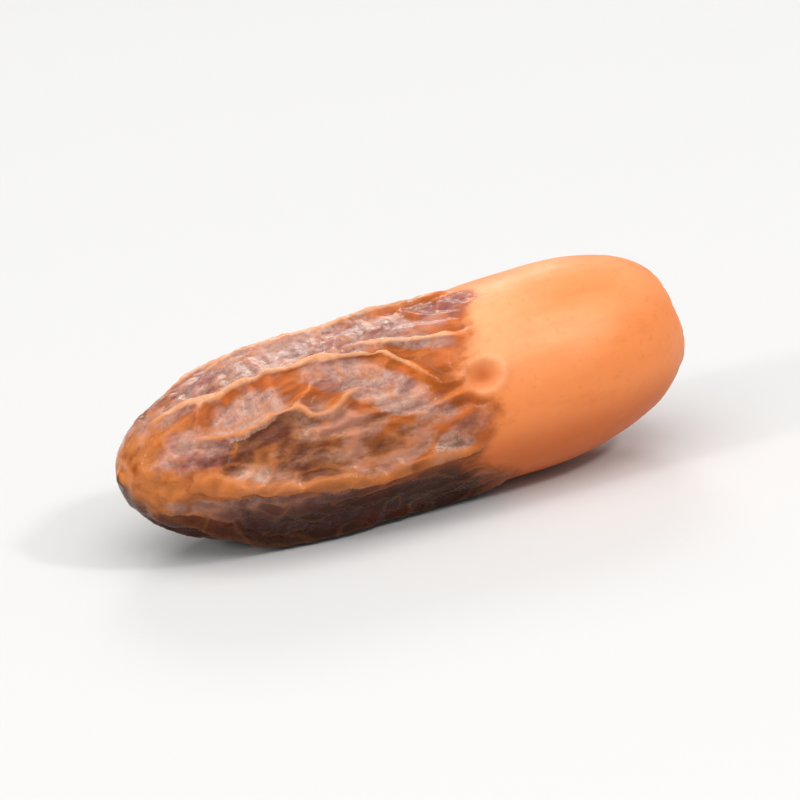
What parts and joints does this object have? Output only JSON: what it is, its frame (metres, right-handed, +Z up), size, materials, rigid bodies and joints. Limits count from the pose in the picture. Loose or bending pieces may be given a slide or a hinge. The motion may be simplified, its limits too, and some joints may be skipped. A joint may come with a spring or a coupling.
{
  "type": "dried date",
  "caption": "Whole dried date lying on its belly: blunt smooth shoulder with an open calyx scar, long folded body, rounded tip.",
  "frame": {"origin": "on the resting plane, below the middle of the fruit's bounding box", "axes": "+X along the fruit towards its stem end, +Z up as it lies at rest, -Y the face with the long fold"},
  "size_m": [0.05, 0.0174, 0.0171],
  "materials": {
    "date_skin": "satin, folded, mauve-brown with orange folds, smooth peach-orange shoulder"
  },
  "bodies": {
    "root": {"date": "date_skin"}
  },
  "joints": []
}
